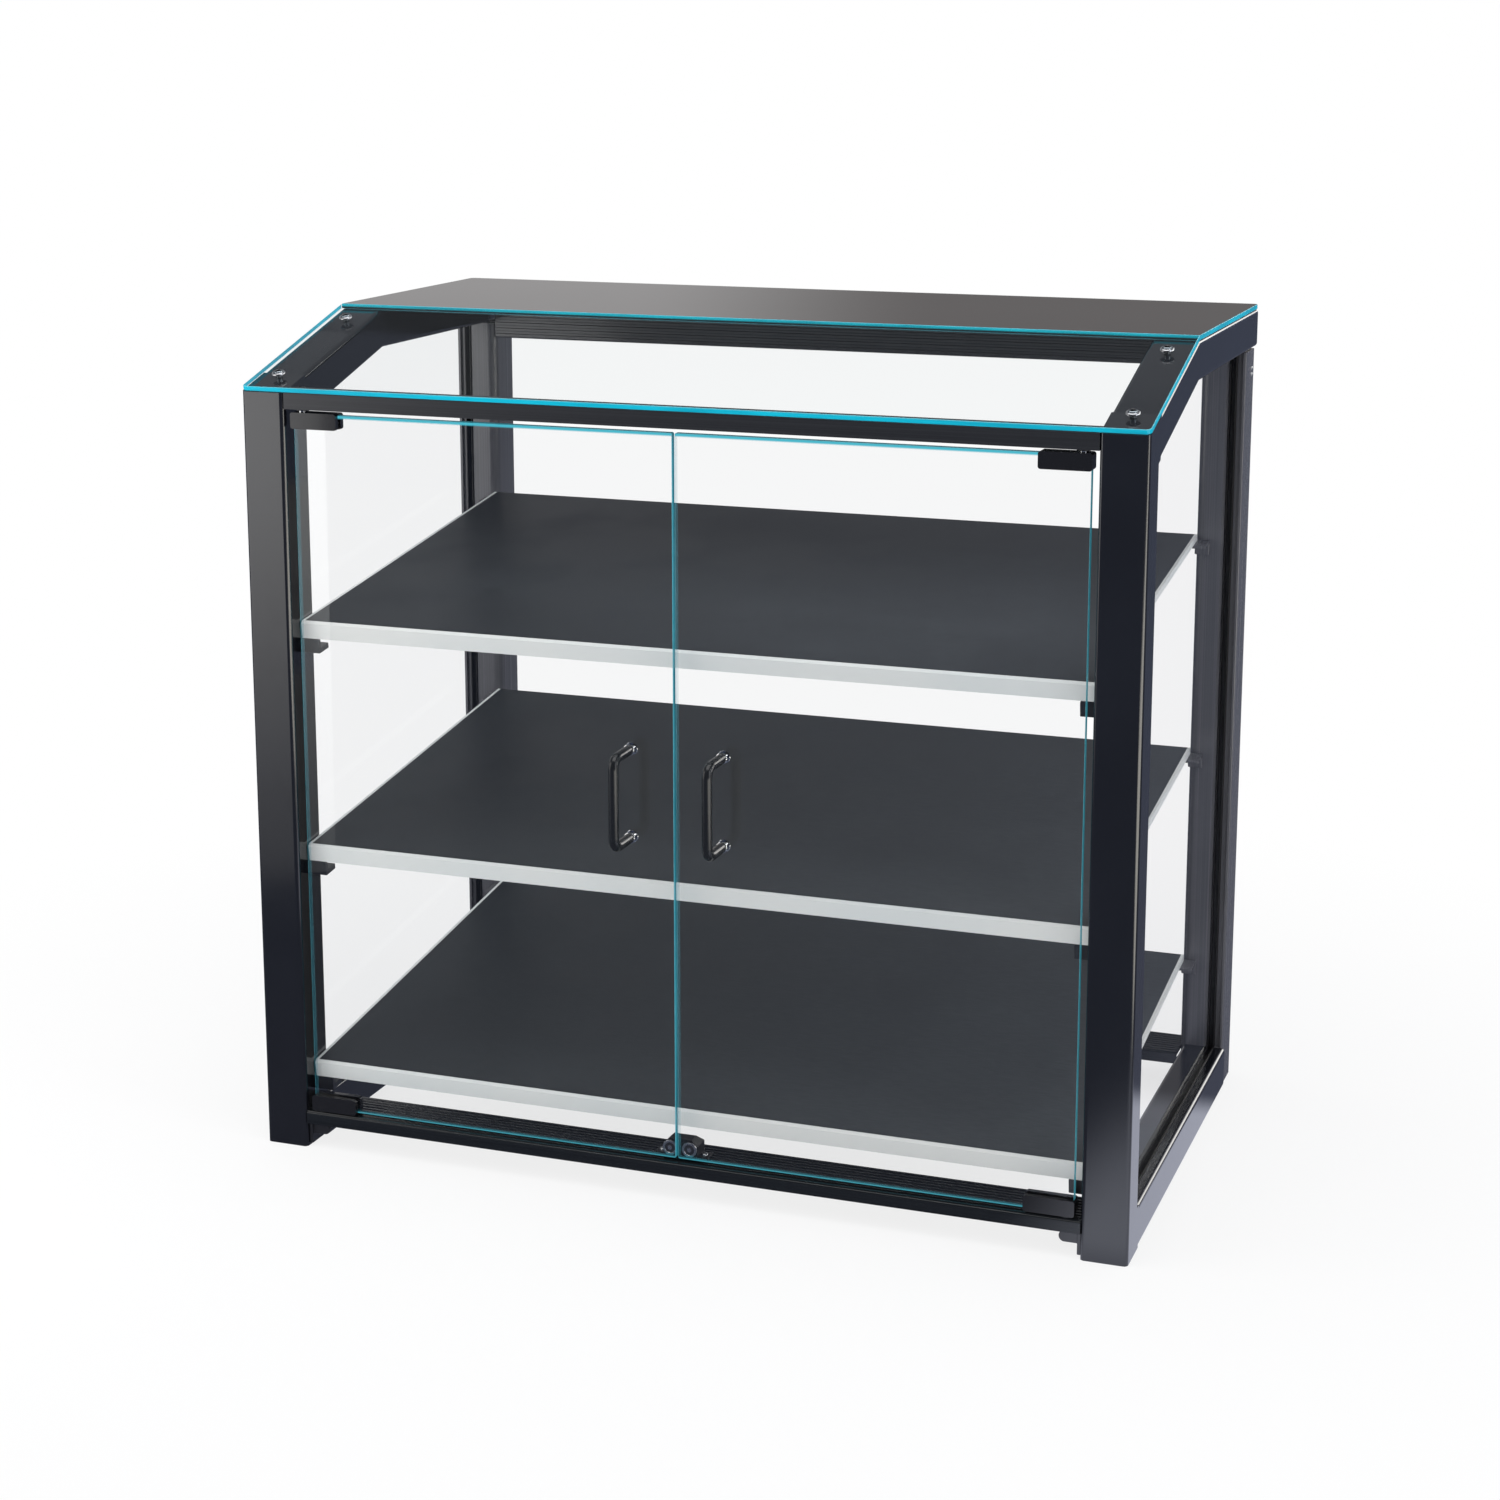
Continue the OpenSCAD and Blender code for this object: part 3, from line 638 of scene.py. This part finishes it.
# a Geometry Nodes tree with named inputs; build gets the first wire and a wire for each input
def makeTree(name, inputs, build):
    tree = bpy.data.node_groups.new(name, "GeometryNodeTree")
    tree.interface.new_socket("Geometry", in_out="INPUT", socket_type="NodeSocketGeometry")
    for label, kind in inputs.items():
        tree.interface.new_socket(label, in_out="INPUT", socket_type="NodeSocket" + kind)
    tree.interface.new_socket("Geometry", in_out="OUTPUT", socket_type="NodeSocketGeometry")
    start = tree.nodes.new("NodeGroupInput")
    wires = {socket.name: Wire(tree, socket) for socket in start.outputs if socket.name}
    last = build(Wire(tree), wires)
    end = tree.nodes.new("NodeGroupOutput")
    tree.links.new(last.socket, end.inputs[0])
    return tree


def runTree(piece, tree, values):
    modifier = piece.modifiers.new(tree.name, "NODES")
    modifier.node_group = tree
    for item in tree.interface.items_tree:
        if item.item_type == "SOCKET" and item.in_out == "INPUT" and item.name in values:
            modifier[item.identifier] = values[item.name]
    settle(piece)


# the piece's own mesh set on every point of Places, turned by the point's own turn
def buildRepeats(start, wires):
    places = start.node("GeometryNodeObjectInfo", {}, {"Object": wires["Places"]}, out="Geometry")
    turn = start.node("GeometryNodeInputNamedAttribute", {"data_type": "FLOAT_VECTOR"}, {"Name": "turn"})
    rotation = start.node("FunctionNodeEulerToRotation", {}, {0: turn})
    many = start.node("GeometryNodeInstanceOnPoints", {},
                      {"Points": places, "Instance": wires["Geometry"], "Rotation": rotation,
                       "Scale": wires["Size"]})
    real = start.node("GeometryNodeRealizeInstances", {}, {0: many})
    chosen = start.node("GeometryNodeInputMaterialIndex")
    main = start.node("FunctionNodeCompare", {"data_type": "INT", "operation": "EQUAL"}, {2: chosen, 3: 0})
    return start.node("GeometryNodeSetMaterial", {},
                      {"Geometry": real, "Selection": main, "Material": wires["Finish"]})


repeatTree = makeTree("repeats", {"Places": "Object", "Size": "Float", "Finish": "Material"}, buildRepeats)


# a turned piece at each place, which is a point and a turn; its first finish is the main one
def repeatPiece(name, profile, finishes, places, body, replaced, sides=48):
    points = bpy.data.meshes.new(name + "Places")
    points.from_pydata([place for place, _ in places], [], [])
    turns = points.attributes.new("turn", "FLOAT_VECTOR", "POINT")
    for i, (_, turn) in enumerate(places):
        turns.data[i].vector = turn
    marks = newPiece(name + "Places", points)
    piece = newPiece(name, lathe(name, profile, finishes, sides))
    runTree(piece, repeatTree, {"Places": marks, "Size": 1.0, "Finish": finishes[0]})
    bpy.data.objects.remove(marks)
    handOver(piece, body, replaced)


# turns that point a turned piece's z axis the way it faces; outward and inward go by the side's sign
facing = {"up": (0, 0, 0), "back": (-math.pi / 2, 0, 0)}
outward = {-1: (0, -math.pi / 2, 0), 1: (0, math.pi / 2, 0)}
inward = {-1: outward[1], 1: outward[-1]}

# cup, head and socket are profiles, as radius and height
roofScrewLook = {
    "across": 337.0, "down": (26.0, 139.5),
    "cup": [(2.6, -0.2), (5.2, -0.2), (5.3, 0.15), (5.1, 0.75), (4.65, 1.25), (4.1, 1.45), (3.7, 1.35),
            (3.5, 0.8), (2.6, 0.2)],
    "head": [(0, -9.0), (2.2, -9.0), (2.4, -8.6), (2.4, 0.3), (3.35, 0.7), (3.4, 1.6), (3.15, 2.15),
             (2.6, 2.5), (2.2, 2.55)],
    "socket": [(1.75, 2.3), (1.65, 0.9)], "socketFloor": [(0, 0.6)],
}


def makeRoofScrews():
    look = roofScrewLook
    places = [(at(sign * look["across"], y, cabinet["frontHigh"] + y * math.tan(slope)), (slope, 0, 0))
              for sign in (-1, 1) for y in look["down"]]
    repeatPiece("roofCups", rows(look["cup"]), [steel], places, "frame", ["sloped_glass_cups"])
    # painted shade: the socket and its floor take the black finish
    head = rows(look["head"]) + rows(look["socket"], 1, "hex") + rows(look["socketFloor"], 1)
    repeatPiece("roofScrews", head, [grained["dullSteel"], satinBlack], places, "frame",
                ["sloped_glass_screws"])


rivetLook = {"radius": 1.7, "high": 0.9, "rim": 0.2, "shank": (1.2, 1.0), "sunk": 0.02, "steps": 5,
             "heights": (610.0, 615.0), "across": 353.5, "back": 409.5}


# domed rivets on the outer sides of the rear posts
def makeRivets():
    look = rivetLook
    radius, high, rim = look["radius"], look["high"], look["rim"]
    shank, deep = look["shank"]
    pairs = [(0, -deep), (shank, -deep), (shank, look["sunk"]), (radius, look["sunk"]), (radius, rim)]
    for i in range(1, look["steps"]):
        angle = math.radians(90 * i / look["steps"])
        pairs.append((radius * math.cos(angle), rim + (high - rim) * math.sin(angle)))
    pairs.append((0, high))
    places = [(at(sign * look["across"], look["back"], z), outward[sign])
              for sign in (-1, 1) for z in look["heights"]]
    repeatPiece("rearRivets", rows(pairs), [steel], places, "frame", ["rear_post_rivets"], sides=32)


# button-head screw with a hexagon socket, standing on z = 0; the socket takes the second finish, painted
# shade in its recess
def buttonHead(radius, high, socket, shank, depth):
    head = [(0, -depth), (shank, -depth), (shank, 0), (radius, 0), (radius, high * 0.25),
            (radius * 0.93, high * 0.6), (radius * 0.76, high * 0.88), (radius * 0.58, high),
            (socket * 1.22, high)]
    hexagon = [(socket, high * 0.9), (socket * 0.95, high * 0.25)]
    return rows(head) + rows(hexagon, 1, "hex") + rows([(0, high * 0.15)], 1)


# screw: radius, height, socket, shank radius and depth; the disc's dark ring has the finish 1
catchLook = {
    "across": 17.0, "back": 20.0, "seat": 32.5, "screw": (2.9, 1.5, 1.0, 1.45, 5.5),
    "discAcross": 8.0, "discBack": 10.0, "discUp": 38.7, "rivet": [(0, 0.02), (1.7, 0.02)],
    "ring": [(2.0, 0.35), (4.1, 0.35)],
    "disc": [(4.4, 0.02), (5.8, 0.02), (6.0, 0.2), (6.0, 1.4), (5.75, 1.6), (2.4, 1.6), (2.0, 1.2), (0, 1.1)],
}


def makeCatchScrews():
    look = catchLook
    places = [(at(sign * look["across"], look["back"], look["seat"]), facing["up"]) for sign in (-1, 1)]
    repeatPiece("catchScrews", buttonHead(*look["screw"]), [chrome, satinBlack], places, "frame",
                ["catch_screws"], sides=36)


# strike disc: steel with a dark ring round a bright rivet, seen through the door glass
def makeStrikeDisc(side, body):
    look = catchLook
    profile = rows(look["rivet"]) + rows(look["ring"], 1) + rows(look["disc"])
    place = at(signOf[side] * look["discAcross"], look["discBack"], look["discUp"])
    repeatPiece(side + "StrikeDisc", profile, [steel, satinBlack], [(place, facing["back"])], body,
                [side + "_strike_disc"])


# foot, grip and glassBack are distances from the front plane
handleLook = {
    "across": 37.3, "foot": 4.0, "grip": -26.0, "glassBack": 10.0, "heights": (286.5, 355.5), "rod": 4.0,
    "bend": 8.0, "around": 32, "turnSteps": 14,
    "ring": [(2.1, 0.0), (4.1, 0.0), (4.4, 0.2), (4.5, 0.5), (4.4, 0.85), (4.2, 1.0), (2.1, 1.0)],
    "screw": [(0, -11.0), (1.9, -11.0), (1.9, 0.02), (4.7, 0.02), (5.0, 0.25), (4.8, 0.75), (3.6, 0.8),
              (3.6, 1.3), (3.3, 2.1), (2.7, 2.5), (1.9, 2.6)],
    "socket": [(1.25, 2.4), (1.2, 1.2)], "socketFloor": [(0, 1.1)],
}


# the rod's path is filleted and given a round section
def buildRod(start, wires):
    path = start.node("GeometryNodeMeshToCurve", {}, {0: wires["Geometry"]})
    eased = start.node("GeometryNodeFilletCurve", {"mode": "POLY"},
                       {"Curve": path, "Count": wires["Turn Steps"], "Radius": wires["Bend"]})
    section = start.node("GeometryNodeCurvePrimitiveCircle", {},
                         {"Resolution": wires["Around"], "Radius": wires["Rod Radius"]})
    rod = start.node("GeometryNodeCurveToMesh", {},
                     {"Curve": eased, "Profile Curve": section, "Fill Caps": True})
    real = start.node("GeometryNodeRealizeInstances", {}, {0: rod})
    return start.node("GeometryNodeSetMaterial", {}, {"Geometry": real, "Material": wires["Finish"]})


rodTree = makeTree("bentRod", {"Rod Radius": "Float", "Bend": "Float", "Around": "Int", "Turn Steps": "Int",
                               "Finish": "Material"}, buildRod)


def smoothRod(mesh):
    work = bmesh.new()
    work.from_mesh(mesh)
    bmesh.ops.recalc_face_normals(work, faces=work.faces)
    shadeByAngle(work, sharp["rod"])
    work.to_mesh(mesh)
    work.free()


# bent rod, the rings at its feet, and its screws behind the glass
def makeHandle(side, body):
    look = handleLook
    x = signOf[side] * look["across"]
    low, high = look["heights"]
    corners = [at(x, y, z) for y, z in ((look["foot"], low), (look["grip"], low), (look["grip"], high),
                                        (look["foot"], high))]
    path = bpy.data.meshes.new(side + "Handle")
    path.from_pydata(corners, [(0, 1), (1, 2), (2, 3)], [])
    piece = newPiece(side + "Handle", path)
    runTree(piece, rodTree, {"Rod Radius": look["rod"] * mm, "Bend": look["bend"] * mm,
                             "Around": look["around"], "Turn Steps": look["turnSteps"],
                             "Finish": grained["handleBlack"]})
    smoothRod(piece.data)
    handOver(piece, body, [side + "_handle"])
    feet, backs = ([(at(x, y, z), facing["back"]) for z in look["heights"]]
                   for y in (look["foot"], look["glassBack"]))
    repeatPiece(side + "HandleRings", rows(look["ring"]), [chrome], feet, body,
                [side + "_handle_rings"])
    # painted shade: the socket and its floor take the black finish
    screw = rows(look["screw"]) + rows(look["socket"], 1, "hex") + rows(look["socketFloor"], 1)
    repeatPiece(side + "HandleScrews", screw, [chrome, satinBlack], backs, body,
                [side + "_handle_screws"])


makeRoofScrews()
makeRivets()
makeCatchScrews()
for side in signOf:
    makeStrikeDisc(side, side + "_door")
    makeHandle(side, side + "_door")
print("stage: screws, rivets, discs and handles made")


# small steel screws that have no CAD node of their own
def makeSmallScrews(name, screw, places, body):
    repeatPiece(name, buttonHead(*screw), [steel, satinBlack], places, body, None, sides=32)


# on the inner plates of the hinge clips
clipScrewLook = {"across": (287.5, 303.5), "back": 13.95, "heights": (38.0, 594.0),
                 "screw": (2.2, 0.5, 1.0, 1.4, 2.0)}


def makeClipScrews(side, body):
    look = clipScrewLook
    places = [(at(signOf[side] * x, look["back"], z), facing["back"])
              for x in look["across"] for z in look["heights"]]
    makeSmallScrews(side + "ClipScrews", look["screw"], places, body)


# on the front brackets of the tilted shelves: ahead runs along a shelf, down is below its top
bracketScrewLook = {"shelves": (69.0, 251.0, 433.0), "front": 15.5, "tilt": math.atan(46.0 / 364.5),
                    "ahead": 11.5, "down": 19.0, "across": 317.05, "screw": (2.4, 1.3, 1.0, 1.4, 2.0)}


def makeBracketScrews():
    look = bracketScrewLook
    rise, run = math.sin(look["tilt"]), math.cos(look["tilt"])
    y = look["front"] + look["ahead"] * run + look["down"] * rise
    up = look["ahead"] * rise - look["down"] * run
    places = [(at(sign * look["across"], y, z + up), inward[sign])
              for sign in (-1, 1) for z in look["shelves"]]
    makeSmallScrews("bracketScrews", look["screw"], places, "frame")


# in each angle behind the header: one screw into the post and one into the header
angleScrewLook = {"plate": (317.05, 30.5), "flange": (311.0, 14.95), "height": 611.5,
                  "screw": (2.6, 1.4, 1.1, 1.5, 2.0)}


def makeAngleScrews():
    look = angleScrewLook
    places = []
    for sign in (-1, 1):
        for (x, y), turn in ((look["plate"], inward[sign]), (look["flange"], facing["back"])):
            places.append((at(sign * x, y, look["height"]), turn))
    makeSmallScrews("angleScrews", look["screw"], places, "frame")


makeClipScrews("left", "left_door")
makeClipScrews("right", "right_door")
makeBracketScrews()
makeAngleScrews()
print("stage: small screws made")

# room settings are in metres; a pair is where a soft step begins and ends
floorLook = {
    "colour": (0.80, 0.80, 0.80), "reach": 12.0, "near": 0.82, "fade": (0.45, 1.1),
    "grain": 3.0, "grainShare": 0.01,
    "footprint": {"side": 0.36, "front": -0.2}, "mirrorReach": (0.05, 0.46),
    "mirrorFront": (1.15, 1.2, 1.4), "mirrorSide": (0.76, 0.79, 0.94), "toSide": (-0.24, -0.18),
    "mirrorShade": (0.11, 0.12, 0.17), "litFrom": (0.24, 0.32), "litTo": (0.11, 0.17),
    "mirrorFar": (0.095, 0.11, 0.16),
    "strip": {"colour": (3.6, 3.5, 3.2), "x": (0.7, 1.0), "from": (-2.2, -1.4), "to": (-0.35, -0.15)},
}
white = (1.0, 1.0, 1.0)


# the shares of a light path: seen straight or through glass, and mirrored in gloss
def lightPath(place):
    path = place.node("ShaderNodeLightPath", out=None)
    camera, through, gloss = (Wire(place.tree, path.outputs[name])
                              for name in ("Is Camera Ray", "Is Transmission Ray", "Is Glossy Ray"))
    return camera | through, gloss


# what gloss finds on the floor: light close to the cabinet, dark far off, and a bright strip at the right
def mirroredFloor(place):
    look = floorLook
    base, strip = look["footprint"], look["strip"]
    near = place.y.ramp(*look["toSide"]).between(look["mirrorFront"], look["mirrorSide"])
    lit = place.x.ramp(*look["litFrom"]) * (1 - place.y.ramp(*look["litTo"]))
    near = lit.between(look["mirrorShade"], near)
    onStrip = place.x.ramp(*strip["x"]) * place.y.ramp(*strip["from"]) * (1 - place.y.ramp(*strip["to"]))
    far = onStrip.between(look["mirrorFar"], strip["colour"])
    outside = (base["front"] - place.y) | (place.sum("ABSOLUTE", place.x) - base["side"])
    return outside.ramp(*look["mirrorReach"]).between(near, far)


# pale floor that is white far off and keeps the shadow near the cabinet
def makeFloor():
    look = floorLook
    reach = look["reach"]
    mesh = bpy.data.meshes.new("floor")
    mesh.from_pydata([(-reach, -reach, 0), (reach, -reach, 0), (reach, reach, 0), (-reach, reach, 0)], [],
                     [(0, 1, 2, 3)])
    floor = newPiece("floor", mesh)
    material, place = newMaterial("floorPale")
    grain = place.noise(look["grain"])
    apart = (place.x * place.x + place.y * place.y) ** 0.5
    diffuse = place.node("ShaderNodeBsdfDiffuse", {}, {"Color": (*look["colour"], 1)})
    seen, gloss = lightPath(place)
    colour = gloss.between(white, mirroredFloor(place))
    glow = place.node("ShaderNodeEmission", {}, {"Color": colour, "Strength": 1.0})
    pale = apart.ramp(*look["fade"]) * (1 - look["near"]) + look["near"] + grain * look["grainShare"]
    share = seen * pale + gloss
    endMaterial(place, place.node("ShaderNodeMixShader", {}, {0: share.clamped(), 1: diffuse, 2: glow}))
    floor.data.materials.append(material)


# the studio that gloss finds, by the direction's x, y and z
worldLook = {
    "diffuse": (0.70, 0.71, 0.73), "front": (0.03, 0.03, 0.034), "frontTo": (-0.2, 0.35),
    "backLeft": (0.50, 0.49, 0.49), "backRight": (0.21, 0.20, 0.20), "toBackRight": (-0.38, -0.27),
    "side": (0.12, 0.14, 0.22), "toSide": (-0.05, 0.12), "above": (0.22, 0.23, 0.25), "toAbove": (0.34, 0.48),
    "band": {"colour": (4.5, 4.4, 4.2), "from": (0.05, 0.10), "to": (0.28, 0.38), "x": (0.08, 0.22)},
}


# white behind for what is seen straight or through glass; gloss finds walls with a bright band
def makeWorld():
    look = worldLook
    band = look["band"]
    world = bpy.data.worlds.new("room")
    scene.world = world
    world.use_nodes = True
    world.node_tree.nodes.clear()
    place = Place(world.node_tree, output="Generated")
    seen, gloss = lightPath(place)
    wall = place.x.ramp(*look["toBackRight"]).between(look["backLeft"], look["backRight"])
    wall = place.x.ramp(*look["toSide"]).between(wall, look["side"])
    onBand = place.z.ramp(*band["from"]) * (1 - place.z.ramp(*band["to"])) * place.x.ramp(*band["x"])
    wall = onBand.between(wall, band["colour"])
    wall = place.z.ramp(*look["toAbove"]).between(wall, look["above"])
    mirrored = place.y.ramp(*look["frontTo"]).between(look["front"], wall)
    colour = seen.between(gloss.between(look["diffuse"], mirrored), white)
    shine = place.node("ShaderNodeBackground", {}, {"Color": colour, "Strength": 1.0})
    place.node("ShaderNodeOutputWorld", {}, {"Surface": shine}, out=None)


# soft lamps; shine is the brightness of their faces, fade its low and high end and its least share
lampLook = {
    "softLeft": {"at": (-0.87, -0.58, 0.50), "aim": (-0.14, 0.55, 0.42), "size": (0.66, 0.94), "shine": 1.8,
                 "colour": (1.0, 0.985, 0.96), "fade": (0.0, 0.55, 0.2)},
    "softRight": {"at": (2.3, -0.9, 1.3), "aim": (0, 0, 0.3), "size": (1.0, 1.8), "shine": 2.3,
                  "colour": (0.90, 0.93, 1.0)},
    "overhead": {"at": (0.0, -0.4, 2.5), "aim": (0, 0, 0.3), "size": (2.4, 1.8), "shine": 2.2,
                 "colour": white},
}


# the lamp's face grows brighter upwards, from the least share of its light at its lower edge
def fadeLamp(data, low, high, least):
    data.use_nodes = True
    data.node_tree.nodes.clear()
    tree = Wire(data.node_tree)
    across = tree.node("ShaderNodeNewGeometry", out="Parametric")
    apart = tree.node("ShaderNodeSeparateXYZ", {}, {0: across}, out=None)
    rise = Wire(data.node_tree, apart.outputs["Y"]).ramp(low, high)
    glow = tree.node("ShaderNodeEmission", {}, {"Color": (*white, 1), "Strength": rise * (1 - least) + least})
    tree.node("ShaderNodeOutputLight", {}, {"Surface": glow}, out=None)


def makeLamps():
    for name, look in lampLook.items():
        data = bpy.data.lights.new(name, "AREA")
        data.shape = "RECTANGLE"
        data.size, data.size_y = look["size"]
        data.energy = look["shine"] * math.pi * data.size * data.size_y
        data.color = look["colour"]
        lamp = bpy.data.objects.new(name, data)
        scene.collection.objects.link(lamp)
        lamp.location = look["at"]
        if "fade" in look:
            fadeLamp(data, *look["fade"])
        aim = Vector(look["aim"]) - Vector(look["at"])
        lamp.rotation_euler = aim.to_track_quat("-Z", "Y").to_euler()
        lamp.visible_camera = False


# camera fitted to the corners of the cabinet in the photograph
cameraLook = {"focalPixels": 2847.9, "at": (0.75146, -2.12095, 0.89814), "yaw": 19.699, "pitch": 11.574,
              "shift": -0.10, "picture": 1500, "sensor": 36.0, "farthest": 60}


def makeCamera():
    look = cameraLook
    data = bpy.data.cameras.new("view")
    data.sensor_width = look["sensor"]
    data.lens = look["focalPixels"] / look["picture"] * look["sensor"]
    data.shift_y = look["shift"]
    data.clip_end = look["farthest"]
    camera = bpy.data.objects.new("view", data)
    scene.collection.objects.link(camera)
    camera.location = look["at"]
    camera.rotation_euler = Euler((math.radians(90 - look["pitch"]), 0, math.radians(look["yaw"])))
    scene.camera = camera


makeFloor()
makeWorld()
makeLamps()
makeCamera()
scene.view_settings.view_transform = "Standard"
print("stage: room, lamps and camera made")
